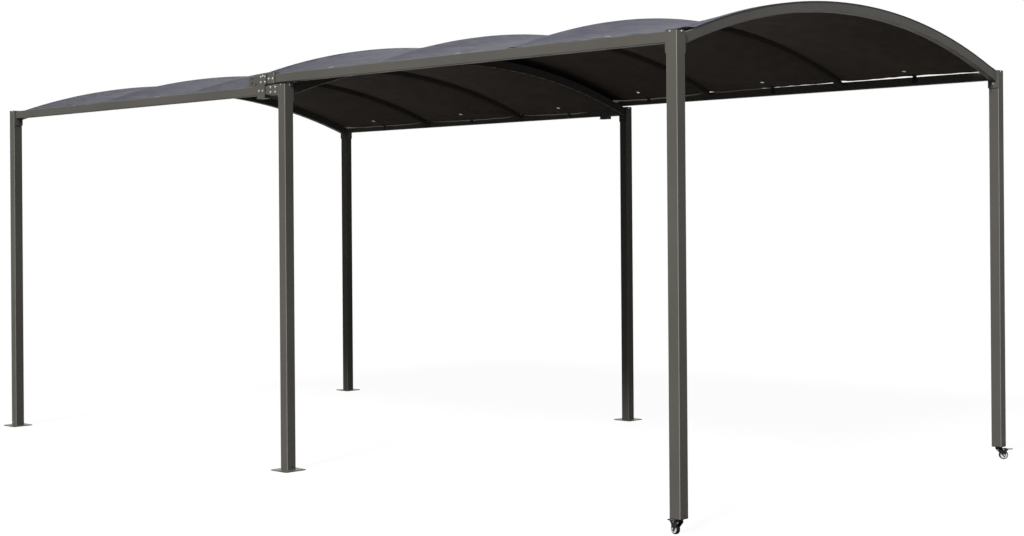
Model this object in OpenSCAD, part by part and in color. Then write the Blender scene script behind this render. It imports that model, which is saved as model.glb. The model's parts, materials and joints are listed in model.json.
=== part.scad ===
// Telescopic carport with a fabric roof.
// The rear section stands on four fixed posts.
// The front section stands on two wheeled posts and slides back over the rear one.
// Lengths are in millimetres, +Z is up, and the entrance faces -Y.
// The origin is on the floor, under the middle of the whole carport.

/* [Overall] */
// Width over the outer faces of the posts
carport_w = 3000; // [2600:10:3400]
// Distance between the centres of the rear and the middle posts
fixed_span = 2960; // [2700:10:3300]
// Distance between the centres of the middle and the front posts, drawn out
drawn_span = 2740; // [2400:10:2800]
// Height of the fixed posts' tops above the floor
fixed_top = 2148; // [1900:1:2600]
// Height of the sliding section above the fixed one
section_lift = 62; // [60:1:75]

/* [Posts] */
// Side of a square post
post_w = 60; // [54:1:70]
// Wall of a post
post_wall = 1.2; // [1:0.1:3]
// Outer corner radius of the straight tubes and of what closes them
tube_corner = 4; // [3.5:0.5:5]
// Thickness of the cap on a post
cap_t = 3; // [2:0.5:5]
// Depth of the collar under a cap, inside the post
cap_collar = 14; // [8:1:30]

/* [Base plates] */
// Side of a square base plate
base_w = 140; // [130:5:180]
// Thickness of a base plate
base_t = 5; // [4:0.5:8]
// Corner radius of a base plate
base_corner = 6; // [3:1:12]
// Height of the stub that stands inside the post
stub_h = 90; // [60:5:150]
// Spacing of the anchor holes
anchor_spacing = 110; // [100:1:116]
// Radius of an anchor hole
anchor_r = 6; // [4:0.5:7]

/* [Rails] */
// Width of a side rail
rail_w = 40; // [36:1:42]
// Height of a side rail
rail_h = 50; // [46:1:52]
// Wall of a side rail
rail_wall = 1.2; // [1:0.1:3]
// Depth of a rail's top under the top of its post
rail_drop = 4; // [4:0.5:5]
// Thickness of the plates welded to the ends of rails and arches
joint_t = 5; // [4:0.5:6]
// Distance of those plates' edges from the post's edges
joint_inset = 0.5; // [0.5:0.5:5]
// Height of those plates
joint_h = 96; // [90:1:110]

/* [Arches] */
// Radius of the top edge of every arch
arch_r = 4256; // [3600:10:5200]
// Depth of an arch's top edge under the top of its post, at the post
arch_drop = 11; // [9:0.5:12]
// Depth of the arch between a pair of posts
arch_h = 50; // [46:1:52]
// Width of the arch between a pair of posts
arch_w = 40; // [36:1:44]
// Wall of that arch
arch_wall = 2; // [1.8:0.1:3]
// Outer corner radius of that arch
arch_corner = 3; // [2.5:0.5:4]
// Depth of a rib between a pair of rails
rib_h = 30; // [26:1:32]
// Width of a rib
rib_w = 25; // [20:1:30]
// Wall of a rib
rib_wall = 2; // [1.8:0.1:2.5]
// Outer corner radius of a rib
rib_corner = 2.5; // [2:0.5:3]
// Height of the ribs' curve above the arches' curve
rib_lift = 9; // [0:0.5:9]
// Thickness of the plates at a rib's feet
foot_t = 3; // [2:0.5:4]
// Length of a rib's foot plate along its rail
foot_l = 74; // [60:1:80]
// Height of a rib's foot plate
foot_h = 48; // [48:1:50]
// Number of bays between the arches and ribs of one section
bays = 3; // [2:1:4]

/* [Roof fabric] */
// Thickness of the fabric with its coating and seams
fabric_t = 2; // [1:0.5:3]
// Distance of the fabric's side edge from the inner face of the rail
fabric_inset = 25; // [20:1:60]
// Sag of the fabric in the middle of a bay
fabric_sag = 34; // [0:1:40]
// Share of that sag that is left at the fabric's side edges
edge_sag_share = 0.25; // [0:0.05:1]

/* [Rail sleeve] */
// Wall of the sleeve that holds a fixed rail at a middle post
sleeve_wall = 2.7; // [2:0.1:2.7]
// Length of that sleeve
sleeve_l = 106; // [80:1:106]
// Side of the sleeve's flange over the rail's width
flange_w = 58; // [54:1:60]
// Depth of the sleeve's flange
flange_h = 72; // [66:1:90]

/* [Rail bracket] */
// Distance of a sliding rail's rear end from the centre of the middle post
rail_tail = 61; // [50:1:64]
// Distance of the rail bracket's front face from the centre of the middle post
bracket_front = 76; // [74:1:78]
// Length of the rail bracket
bracket_l = 58; // [52:1:60]
// Wall of the rail bracket
bracket_wall = 3; // [2:0.5:3]
// Depth of the bracket under the rail
bracket_under = 2; // [1:0.5:2]
// Height of the bracket over the rail
bracket_over = 10; // [6:0.5:12]
// Length of the bracket's tongue inside the rail
tongue_l = 70; // [40:1:120]
// Width of the bracket's neck between the rail and the bracket
neck_w = 22; // [16:1:26]
// Height of that neck
neck_h = 36; // [28:1:40]
// Length of the bracket's tail inside the carriage
tail_l = 9; // [6:1:10]

/* [Carriage] */
// Distance of the carriage's front edge from the centre of the middle post
carriage_front = 141; // [141:1:143]
// Length of the carriage's top and outer plate
carriage_l = 112; // [108:1:120]
// Length of the carriage's inner plate, which carries the tail rib
inner_l = 220; // [210:1:230]
// Distance of the tail rib's centre from the carriage's front edge
rib_seat = 137; // [120:1:140]
// Thickness of the carriage's plates
carriage_t = 4; // [3:0.5:4]
// Distance of the carriage's outer plate from the rail
carriage_gap = 3; // [2:0.5:3]
// Height of the carriage's top over the sliding rail's top
carriage_over = 2; // [1:0.5:6]
// Height of the carriage's plates above the fixed rail
carriage_step = 6; // [5:0.5:8]
// Distance of the carriage's hanger from its front edge
hanger_front = 14; // [8:1:20]
// Length of the hanger
hanger_l = 70; // [64:1:80]
// Depth of the hanger's lip under the fixed rail
carriage_drop = 20; // [16:1:30]
// Width of the lip under the rail
lip_w = 42; // [30:1:43]
// Radius of a roller
roller_r = 17; // [14:0.5:18]
// Width of a roller
roller_w = 32; // [24:1:36]
// Radius of a roller's axle
roller_axle_r = 5; // [4:0.5:6]
// Radius of the rounded corners of the roller's tread
roller_round = 2; // [1:0.5:4]
// Spacing of the two rollers
roller_spacing = 52; // [44:1:54]
// Length of the slide pad under the rail
pad_l = 60; // [40:1:64]
// Width of the slide pad
pad_w = 30; // [20:1:34]

/* [Casters] */
// Height of the underside of the front posts above the floor
caster_h = 72; // [72:1:80]
// Radius of a caster's wheel
wheel_r = 25; // [22:0.5:25]
// Width of a caster's wheel
wheel_w = 18; // [14:0.5:20]
// Depth of the rubber tyre
tyre_depth = 6; // [4:0.5:7]
// Radius of the tyre's rounded shoulders
tyre_round = 4; // [2:0.5:4]
// Depth of the dish in each side of the hub
hub_dish = 3; // [1:0.5:5]
// Radius of the boss in the middle of the hub
hub_boss_r = 8; // [7:0.5:9]
// Width of the hub's rim outside the dish
hub_rim = 3; // [2:0.5:4]
// Distance of the wheel's axle behind the swivel's axis
trail = 26; // [24:0.5:28]
// Radius of the wheel's axle
axle_r = 4; // [3:0.5:5]
// Radius of the axle's heads
axle_head_r = 6.5; // [6:0.5:8]
// Thickness of the axle's heads
axle_head_t = 3; // [2:0.5:4]
// Thickness of the fork's plates
fork_t = 2.5; // [2:0.5:3]
// Gap between the wheel and each cheek of the fork
fork_gap = 2; // [1:0.5:3]
// Length of the fork's crown in front of the swivel's axis
crown_front = 15; // [13:0.5:18]
// Length of the fork's crown behind the swivel's axis
crown_rear = 34; // [30:0.5:34]
// Radius of the fork's cheeks around the axle
cheek_r = 8; // [7:0.5:10]
// Radius of the swivel housing
housing_r = 19; // [16:0.5:22]
// Height of the swivel housing
housing_h = 10; // [8:0.5:10]
// Gap between the swivel housing and the post's foot
housing_gap = 0.7; // [0.5:0.1:1]
// Radius of the swivel's stem
stem_r = 6; // [5:0.5:8]
// Radius of the stem's riveted end
rivet_r = 8.5; // [8:0.5:10]
// Thickness of the stem's riveted end
rivet_t = 2; // [1.5:0.5:3]
// Distance of the brake pedal's pivot behind the swivel's axis
pedal_back = 44; // [43:0.5:46]
// Depth of the brake pedal's pivot under the fork's crown
pedal_drop = 3; // [2:0.5:4]
// Radius of the fork's ears around the brake pedal's pivot
ear_r = 6; // [5:0.5:7]
// Radius of the brake pedal's pivot pin
pedal_pin_r = 2; // [1.5:0.5:2.5]
// Radius of the brake pedal's eye
pedal_eye_r = 4; // [3.5:0.5:4.5]
// Length of the brake pedal from its pivot to its tip
pedal_l = 36; // [30:1:42]
// Thickness of the brake pedal
pedal_t = 3; // [2:0.5:3]
// Direction in which the left caster trails, in degrees from +X
left_turn = 74; // [60:1:120]
// Direction in which the right caster trails, in degrees from +X
right_turn = -46; // [-60:1:-30]

/* [Fits] */
// Gap between a curved face and the piece that lies on it
seat_gap = 0.3; // [0.2:0.05:0.5]
// Gap around a tube inside another tube
slip_gap = 0.5; // [0.3:0.1:0.8]
// Gap around a turning pin
pin_gap = 0.05; // [0.03:0.01:0.08]
// Overrun of every cut
cut = 5; // [2:1:10]

/* [Hidden] */
$fn = 64;

// Numbers of the fabric's facets across the roof and along one bay
across = 18;
along = 4;

// The two sides
right = 1;
left = -1;

// Heights
sliding_top = fixed_top + section_lift;
fixed_rail_top = fixed_top - rail_drop;
sliding_rail_top = sliding_top - rail_drop;
carriage_top = sliding_rail_top + carriage_over;
carriage_low = fixed_rail_top - rail_h - carriage_drop;
crown_z = caster_h - housing_gap - housing_h;

// Widths
post_x = carport_w / 2 - post_w / 2;
post_in = post_x - post_w / 2;
rail_in = post_x - rail_w / 2;
carriage_in = rail_in - carriage_t;
fabric_half = rail_in - fabric_inset;
joint_w = post_w - 2 * joint_inset;
post_bore = post_w - 2 * post_wall;
stub_w = post_bore - 2 * slip_gap;
stub_corner = tube_corner;
fork_half = wheel_w / 2 + fork_gap;
pedal_w = 2 * (fork_half - slip_gap);

// Lengths
pedal_tip = pedal_back + pedal_l;
front_reach = max(post_w / 2, pedal_w / 2 - (pedal_tip - pedal_w / 2) * sin(right_turn));
carport_l = fixed_span + drawn_span + base_w / 2 + front_reach;
rear_y = carport_l / 2 - base_w / 2;
mid_y = rear_y - fixed_span;
front_y = mid_y - drawn_span;
carriage_y = mid_y + carriage_front;
tail_y = carriage_y + rib_seat;

// Centres of the arches' curve
fixed_arch_z = fixed_top - arch_drop - sqrt(arch_r * arch_r - post_in * post_in);
sliding_arch_z = fixed_arch_z + section_lift;
arch_sweep = 2 * asin(post_x / (arch_r - arch_h));

frame_colour = [0.33, 0.32, 0.29];
fabric_colour = [0.36, 0.37, 0.41];
plastic_colour = [0.10, 0.10, 0.10];
nylon_colour = [0.16, 0.16, 0.17];
hub_colour = [0.80, 0.80, 0.78];
rubber_colour = [0.07, 0.07, 0.07];
fork_colour = [0.09, 0.09, 0.10];

// Profiles

// A rectangle with rounded corners, centred
module rounded(w, h, r) {
    square([w - 2 * r, h], center = true);
    square([w, h - 2 * r], center = true);
    for (x = [r - w / 2, w / 2 - r], y = [r - h / 2, h / 2 - r])
        translate([x, y])
            circle(r = r);
}

// The section of a rectangular tube
module tube_section(w, h, wall, r) {
    difference() {
        rounded(w, h, r);
        rounded(w - 2 * wall, h - 2 * wall, r - wall);
    }
}

// A tube that runs from one height to another
module upright(w, wall, r, z_low, z_high) {
    translate([0, 0, z_low])
        linear_extrude(height = z_high - z_low)
            tube_section(w, w, wall, r);
}

// A tube that runs along the carport, with its middle at the given height
module lengthwise(w, h, wall, r, y_low, y_high, z) {
    translate([0, y_high, z])
        rotate([90, 0, 0])
            linear_extrude(height = y_high - y_low)
                tube_section(w, h, wall, r);
}

// A block between two corners
module block(low, high) {
    translate(low)
        cube(high - low);
}

// A plate across the rail's direction, its face at the given distance
module cross_plate(w, z_low, z_high, y_low, t) {
    block([-w / 2, y_low, z_low], [w / 2, y_low + t, z_high]);
}

// Places a piece drawn for the right-hand side, or its mirror image
module on_side(side) {
    if (side == right)
        children();
    else
        mirror([1, 0, 0])
            children();
}

// Posts

module post(side, y, z_low, top) {
    color(frame_colour)
        translate([side * post_x, y, 0])
            upright(post_w, post_wall, tube_corner, z_low, top - cap_t);
}

module post_cap(side, y, top) {
    translate([side * post_x, y, top - cap_t]) {
        linear_extrude(height = cap_t)
            rounded(post_w, post_w, tube_corner);
        upright(stub_w, post_wall, stub_corner, -cap_collar, 0);
    }
}

module base(side, y) {
    color(frame_colour)
        translate([side * post_x, y, 0]) {
            difference() {
                linear_extrude(height = base_t)
                    rounded(base_w, base_w, base_corner);
                for (a = [left, right], b = [left, right])
                    translate([a * anchor_spacing / 2, b * anchor_spacing / 2, -cut])
                        cylinder(r = anchor_r, h = base_t + 2 * cut);
            }
            upright(stub_w, post_wall, stub_corner, base_t, base_t + stub_h);
        }
}

module rear_left_post() { post(left, rear_y, base_t, fixed_top); }
module rear_right_post() { post(right, rear_y, base_t, fixed_top); }
module middle_left_post() { post(left, mid_y, base_t, fixed_top); }
module middle_right_post() { post(right, mid_y, base_t, fixed_top); }
module front_left_post() { post(left, front_y, caster_h + cap_t, sliding_top); }
module front_right_post() { post(right, front_y, caster_h + cap_t, sliding_top); }

module rear_left_base() { base(left, rear_y); }
module rear_right_base() { base(right, rear_y); }
module middle_left_base() { base(left, mid_y); }
module middle_right_base() { base(right, mid_y); }

module fixed_post_caps() {
    color(plastic_colour)
        for (side = [left, right], y = [rear_y, mid_y])
            post_cap(side, y, fixed_top);
}

module sliding_post_caps() {
    color(plastic_colour)
        for (side = [left, right])
            post_cap(side, front_y, sliding_top);
}

// Rails

module rail(y_low, y_high, top) {
    lengthwise(rail_w, rail_h, rail_wall, tube_corner, y_low, y_high, top - rail_h / 2);
}

// A fixed rail hangs on a plate at the rear post and ends in the sleeve at the middle post
module fixed_rail(side) {
    y_low = mid_y + post_w / 2 + seat_gap;
    y_high = rear_y - post_w / 2 - joint_t;
    color(frame_colour)
        translate([side * post_x, 0, 0]) {
            rail(y_low, y_high, fixed_rail_top);
            cross_plate(joint_w, fixed_rail_top - joint_h, fixed_rail_top, y_high, joint_t);
        }
}

// A sliding rail hangs on a plate at the front post and is open at its tail
module sliding_rail(side) {
    y_low = front_y + post_w / 2;
    y_high = mid_y + rail_tail;
    color(frame_colour)
        translate([side * post_x, 0, 0]) {
            rail(y_low + joint_t, y_high, sliding_rail_top);
            cross_plate(joint_w, sliding_rail_top - joint_h, sliding_rail_top, y_low, joint_t);
        }
}

module fixed_left_rail() { fixed_rail(left); }
module fixed_right_rail() { fixed_rail(right); }
module sliding_left_rail() { sliding_rail(left); }
module sliding_right_rail() { sliding_rail(right); }

// The sleeve is welded to a flange, and the rail passes through both
module rail_sleeve(side) {
    in_w = rail_w + 2 * seat_gap;
    in_h = rail_h + 2 * seat_gap;
    out_w = in_w + 2 * sleeve_wall;
    out_h = in_h + 2 * sleeve_wall;
    y = mid_y + post_w / 2;
    rail_z = fixed_rail_top - rail_h / 2;
    color(frame_colour)
        translate([side * post_x, 0, 0])
            difference() {
                union() {
                    lengthwise(out_w, out_h, sleeve_wall, tube_corner, y, y + sleeve_l, rail_z);
                    cross_plate(flange_w, fixed_top - flange_h, fixed_top, y, joint_t);
                }
                block([-in_w / 2, y - cut, rail_z - in_h / 2],
                    [in_w / 2, y + joint_t + cut, rail_z + in_h / 2]);
            }
}

module left_rail_sleeve() { rail_sleeve(left); }
module right_rail_sleeve() { rail_sleeve(right); }

// Arches and ribs

// A tube bent to the roof's curve and cut upright at both ends
module bent_tube(h, w, wall, r, half, y, centre_z) {
    translate([0, y, centre_z])
        intersection() {
            rotate([90, 0, 0])
                rotate([0, 0, 90 - arch_sweep / 2])
                    rotate_extrude(angle = arch_sweep, $fn = 720)
                        translate([arch_r - h / 2, 0])
                            difference() {
                                rounded(h, w, r);
                                square([h - 2 * wall, w - 2 * wall], center = true);
                            }
            block([-half, -w, 0], [half, w, arch_r + cut]);
        }
}

// An arch between two posts, with a plate at each end
module post_arch(y, centre_z, top) {
    plate_top = top - rail_drop;
    color(frame_colour) {
        bent_tube(arch_h, arch_w, arch_wall, arch_corner, post_in - joint_t, y, centre_z);
        for (side = [left, right])
            on_side(side)
                block([post_in - joint_t, y - joint_w / 2, plate_top - joint_h],
                    [post_in, y + joint_w / 2, plate_top]);
    }
}

// A rib between two rails, with a foot plate against each
module rib(y, centre_z, rail_top, half = rail_in) {
    rail_z = rail_top - rail_h / 2;
    color(frame_colour) {
        bent_tube(rib_h, rib_w, rib_wall, rib_corner, half - foot_t, y, centre_z + rib_lift);
        for (side = [left, right])
            on_side(side)
                block([half - foot_t, y - foot_l / 2, rail_z - foot_h / 2],
                    [half, y + foot_l / 2, rail_z + foot_h / 2]);
    }
}

// Position of one of the rows that divide a section into bays, counted from the back
function bay_y(back, front, i) = back + (front - back) * i / bays;

module rear_arch() { post_arch(rear_y, fixed_arch_z, fixed_top); }
module middle_arch() { post_arch(mid_y, fixed_arch_z, fixed_top); }
module front_arch() { post_arch(front_y, sliding_arch_z, sliding_top); }

module fixed_rear_rib() { rib(bay_y(rear_y, mid_y, 1), fixed_arch_z, fixed_rail_top); }
module fixed_front_rib() { rib(bay_y(rear_y, mid_y, bays - 1), fixed_arch_z, fixed_rail_top); }
module sliding_rear_rib() { rib(bay_y(tail_y, front_y, 1), sliding_arch_z, sliding_rail_top); }
module sliding_front_rib() { rib(bay_y(tail_y, front_y, bays - 1), sliding_arch_z, sliding_rail_top); }
module tail_rib() { rib(tail_y, sliding_arch_z, sliding_rail_top, carriage_in); }

// Roof fabric

// Sag of the fabric at a place in its bay and across the roof
function sag(u, s) = fabric_sag * 4 * u * (1 - u) * (1 - (1 - edge_sag_share) * s * s);

// What carries the fabric from back to front: half its width and its lift over the arches' curve
fixed_carriers = [[arch_w / 2, 0], for (k = [1 : bays - 1]) [rib_w / 2, rib_lift], [arch_w / 2, 0]];
sliding_carriers = [for (k = [0 : bays - 1]) [rib_w / 2, rib_lift], [arch_w / 2, 0]];

// Rows of the fabric from back to front, each with its place in its bay and its lift:
// the fabric lies flat on every arch and rib
function fabric_rows(back, front, carriers) = [
    [back + carriers[0][0], 0, carriers[0][1]],
    for (k = [0 : bays - 1], j = [0 : along])
        let (
            low = bay_y(back, front, k) - carriers[k][0],
            high = bay_y(back, front, k + 1) + carriers[k + 1][0],
            u = j / along
        )
        [low + (high - low) * u, u, carriers[k][1] + (carriers[k + 1][1] - carriers[k][1]) * u],
    [front - carriers[bays][0], 0, carriers[bays][1]]
];

// A point of the fabric over the arches: the flats between the points clear the arches' curve
function fabric_point(row, centre_z, lift, i) =
    let (
        s = 2 * i / across - 1,
        half_angle = asin(fabric_half / arch_r),
        r = (arch_r + lift - sag(row[1], s)) / cos(half_angle / across)
    )
    [r * sin(s * half_angle), row[0], centre_z + row[2] + r * cos(s * half_angle)];

// A closed sheet over the arches, hanging a little in each bay
module canopy(back, front, carriers, centre_z) {
    rows = fabric_rows(back, front, carriers);
    last = len(rows) - 1;
    cols = across + 1;
    count = cols * len(rows);
    points = [
        for (lift = [seat_gap, seat_gap + fabric_t], row = rows, i = [0 : across])
            fabric_point(row, centre_z, lift, i)
    ];
    skins = [
        for (j = [0 : last - 1], i = [0 : across - 1])
            let (p = j * cols + i, q = p + count)
            each [
                [p, p + 1, p + cols + 1], [p, p + cols + 1, p + cols],
                [q, q + cols + 1, q + 1], [q, q + cols, q + cols + 1]
            ]
    ];
    ends = [
        for (i = [0 : across - 1])
            let (p = i, q = i + count, m = last * cols + i, n = m + count)
            each [[p, q, q + 1], [p, q + 1, p + 1], [m, m + 1, n + 1], [m, n + 1, n]]
    ];
    sides = [
        for (j = [0 : last - 1])
            let (p = j * cols, q = p + count, m = p + across, n = m + count)
            each [[p, p + cols, q + cols], [p, q + cols, q], [m, n, n + cols], [m, n + cols, m + cols]]
    ];
    color(fabric_colour)
        polyhedron(points = points, faces = concat(skins, ends, sides));
}

module fixed_canopy() { canopy(rear_y, mid_y, fixed_carriers, fixed_arch_z); }
module sliding_canopy() { canopy(tail_y, front_y, sliding_carriers, sliding_arch_z); }

// Sliding gear at the middle posts

// The bracket plugs into the sliding rail with a necked tongue and ends in the carriage
module rail_bracket(side) {
    y_low = mid_y + bracket_front;
    y_high = y_low + bracket_l;
    z_low = sliding_rail_top - rail_h - bracket_under;
    z_high = sliding_rail_top + bracket_over;
    half = rail_w / 2 + bracket_wall;
    rail_z = sliding_rail_top - rail_h / 2;
    rail_end = mid_y + rail_tail;
    tongue_w = rail_w - 2 * rail_wall - 2 * slip_gap;
    tongue_h = rail_h - 2 * rail_wall - 2 * slip_gap;
    tail_low = fixed_rail_top + carriage_step + roller_axle_r;
    color(frame_colour)
        translate([side * post_x, 0, 0]) {
            difference() {
                translate([0, 0, z_low])
                    linear_extrude(height = z_high - z_low)
                        translate([0, (y_low + y_high) / 2])
                            rounded(2 * half, bracket_l, tube_corner);
                block([bracket_wall - half, y_low + bracket_wall, z_low - cut],
                    [half - bracket_wall, y_high - bracket_wall, z_high - bracket_wall]);
            }
            lengthwise(tongue_w, tongue_h, bracket_wall, tube_corner,
                rail_end - tongue_l, rail_end, rail_z);
            block([-neck_w / 2, rail_end - bracket_wall, rail_z - neck_h / 2],
                [neck_w / 2, y_low + bracket_wall, rail_z + neck_h / 2]);
            translate([0, rail_end, rail_z])
                rotate([90, 0, 0])
                    linear_extrude(height = bracket_wall)
                        rounded(tongue_w, tongue_h, tube_corner);
            block([seat_gap - rail_w / 2, y_high - bracket_wall, tail_low],
                [rail_w / 2 - seat_gap, carriage_y + tail_l, carriage_top - carriage_t - seat_gap]);
        }
}

// The carriage folds over the rail: its inner plate carries the tail rib,
// and a narrower hanger on its outer plate ends in a lip under the rail
module carriage(side) {
    plate_low = fixed_rail_top + carriage_step;
    outer = rail_w / 2 + carriage_gap + carriage_t;
    inner = -rail_w / 2 - carriage_t;
    y_high = carriage_y + carriage_l;
    hanger_y = carriage_y + hanger_front;
    hanger_end = hanger_y + hanger_l;
    color(frame_colour)
        on_side(side)
            translate([post_x, 0, 0]) {
                block([inner, carriage_y, plate_low], [-rail_w / 2, carriage_y + inner_l, carriage_top]);
                block([inner, carriage_y, carriage_top - carriage_t], [outer, y_high, carriage_top]);
                block([outer - carriage_t, carriage_y, plate_low], [outer, y_high, carriage_top]);
                block([outer - carriage_t, hanger_y, carriage_low], [outer, hanger_end, carriage_top]);
                block([outer - lip_w, hanger_y, carriage_low],
                    [outer, hanger_end, carriage_low + carriage_t]);
            }
}

// Two rollers run on top of the fixed rail, and a pad slides under it
module carriage_rollers(side) {
    roller_y = carriage_y + carriage_l / 2;
    pad_y = carriage_y + hanger_front + hanger_l / 2;
    color(nylon_colour)
        translate([side * post_x, 0, 0]) {
            for (end = [left, right])
                translate([0, roller_y + end * roller_spacing / 2, fixed_rail_top + seat_gap + roller_r])
                    rotate([0, 90, 0]) {
                        rotate_extrude()
                            intersection() {
                                rounded(2 * roller_r, roller_w, roller_round);
                                translate([0, -roller_w / 2])
                                    square([roller_r, roller_w]);
                            }
                        cylinder(r = roller_axle_r, h = rail_w - 2 * seat_gap, center = true);
                    }
            block([-pad_w / 2, pad_y - pad_l / 2, carriage_low + carriage_t],
                [pad_w / 2, pad_y + pad_l / 2, fixed_rail_top - rail_h - seat_gap]);
        }
}

module left_rail_bracket() { rail_bracket(left); }
module right_rail_bracket() { rail_bracket(right); }
module left_carriage() { carriage(left); }
module right_carriage() { carriage(right); }
module left_carriage_rollers() { carriage_rollers(left); }
module right_carriage_rollers() { carriage_rollers(right); }

// Casters

// The socket closes the foot of a front post and carries the swivel's stem
module caster_socket(side) {
    color(plastic_colour)
        translate([side * post_x, front_y, caster_h]) {
            linear_extrude(height = cap_t)
                rounded(post_w, post_w, tube_corner);
            upright(stub_w, post_wall, stub_corner, cap_t, cap_t + cap_collar);
            translate([0, 0, crown_z - fork_t - seat_gap - caster_h])
                cylinder(r = stem_r, h = caster_h - crown_z + fork_t + seat_gap);
            translate([0, 0, crown_z - fork_t - seat_gap - rivet_t - caster_h])
                cylinder(r = rivet_r, h = rivet_t);
        }
}

// Places a caster's piece, drawn with its trail along +X, under its post
module at_caster(side) {
    translate([side * post_x, front_y, 0])
        rotate([0, 0, side == right ? right_turn : left_turn])
            children();
}

// A pin across the caster, centred on the wheel
module cross_pin(x, z, r, l) {
    translate([x, 0, z])
        rotate([90, 0, 0])
            cylinder(r = r, h = l, center = true);
}

// The outline of one cheek of the fork
module cheek() {
    pedal_z = crown_z - fork_t - pedal_drop;
    polygon([
        [-crown_front, crown_z],
        [pedal_back, crown_z],
        [pedal_back, pedal_z - ear_r],
        [trail + cheek_r, wheel_r],
        [trail - cheek_r, wheel_r],
        [-crown_front, crown_z - 2 * fork_t]
    ]);
    translate([trail, wheel_r])
        circle(r = cheek_r);
    translate([pedal_back, pedal_z])
        circle(r = ear_r);
}

module caster_fork(side) {
    color(fork_colour)
        at_caster(side) {
            difference() {
                union() {
                    translate([0, 0, crown_z])
                        cylinder(r = housing_r, h = housing_h);
                    block([-crown_front, -fork_half - fork_t, crown_z - fork_t],
                        [crown_rear, fork_half + fork_t, crown_z]);
                    for (y = [-fork_half, fork_half + fork_t])
                        translate([0, y, 0])
                            rotate([90, 0, 0])
                                linear_extrude(height = fork_t)
                                    cheek();
                }
                translate([0, 0, crown_z - fork_t - cut])
                    cylinder(r = stem_r + pin_gap, h = fork_t + housing_h + 2 * cut);
            }
            cross_pin(trail, wheel_r, axle_r, 2 * (fork_half + fork_t));
            for (y = [-fork_half - fork_t - axle_head_t / 2, fork_half + fork_t + axle_head_t / 2])
                translate([0, y, 0])
                    cross_pin(trail, wheel_r, axle_head_r, axle_head_t);
            cross_pin(pedal_back, crown_z - fork_t - pedal_drop, pedal_pin_r, 2 * (fork_half + fork_t));
        }
}

// The tyre's section is a rounded band around the hub
module wheel_tyre(side) {
    color(rubber_colour)
        at_caster(side)
            translate([trail, 0, wheel_r])
                rotate([90, 0, 0])
                    rotate_extrude()
                        difference() {
                            intersection() {
                                rounded(2 * wheel_r, wheel_w, tyre_round);
                                translate([0, -wheel_w / 2])
                                    square([wheel_r, wheel_w]);
                            }
                            translate([0, -wheel_w / 2 - cut])
                                square([wheel_r - tyre_depth, wheel_w + 2 * cut]);
                        }
}

// The hub is dished on both sides around a bored boss
module wheel_hub(side) {
    hub_r = wheel_r - tyre_depth;
    color(hub_colour)
        at_caster(side)
            translate([trail, 0, wheel_r])
                rotate([90, 0, 0])
                    rotate_extrude()
                        difference() {
                            translate([axle_r + pin_gap, -wheel_w / 2])
                                square([hub_r - axle_r - pin_gap, wheel_w]);
                            for (y = [-wheel_w / 2 - cut, wheel_w / 2 - hub_dish])
                                translate([hub_boss_r, y])
                                    square([hub_r - hub_rim - hub_boss_r, hub_dish + cut]);
                        }
}

// The pedal is a tongue with a round tip and a bored eye
module brake_pedal(side) {
    pedal_z = crown_z - fork_t - pedal_drop;
    color(plastic_colour)
        at_caster(side)
            difference() {
                union() {
                    translate([0, 0, pedal_z])
                        linear_extrude(height = pedal_t) {
                            translate([pedal_back, -pedal_w / 2])
                                square([pedal_l - pedal_w / 2, pedal_w]);
                            translate([pedal_tip - pedal_w / 2, 0])
                                circle(r = pedal_w / 2);
                        }
                    cross_pin(pedal_back, pedal_z, pedal_eye_r, pedal_w);
                }
                cross_pin(pedal_back, pedal_z, pedal_pin_r + pin_gap, pedal_w + 2 * cut);
            }
}

module left_caster_socket() { caster_socket(left); }
module right_caster_socket() { caster_socket(right); }
module left_caster_fork() { caster_fork(left); }
module right_caster_fork() { caster_fork(right); }
module left_wheel_hub() { wheel_hub(left); }
module right_wheel_hub() { wheel_hub(right); }
module left_wheel_tyre() { wheel_tyre(left); }
module right_wheel_tyre() { wheel_tyre(right); }
module left_brake_pedal() { brake_pedal(left); }
module right_brake_pedal() { brake_pedal(right); }

rear_left_post();
rear_right_post();
middle_left_post();
middle_right_post();
rear_left_base();
rear_right_base();
middle_left_base();
middle_right_base();
fixed_post_caps();
fixed_left_rail();
fixed_right_rail();
left_rail_sleeve();
right_rail_sleeve();
rear_arch();
fixed_rear_rib();
fixed_front_rib();
middle_arch();
fixed_canopy();
front_left_post();
front_right_post();
sliding_post_caps();
sliding_left_rail();
sliding_right_rail();
left_rail_bracket();
right_rail_bracket();
left_carriage();
right_carriage();
left_carriage_rollers();
right_carriage_rollers();
tail_rib();
sliding_rear_rib();
sliding_front_rib();
front_arch();
sliding_canopy();
left_caster_socket();
right_caster_socket();
left_caster_fork();
right_caster_fork();
left_wheel_hub();
right_wheel_hub();
left_wheel_tyre();
right_wheel_tyre();
left_brake_pedal();
right_brake_pedal();
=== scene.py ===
import json
import math

import bmesh
import bpy
from mathutils import Matrix, Vector

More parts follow.
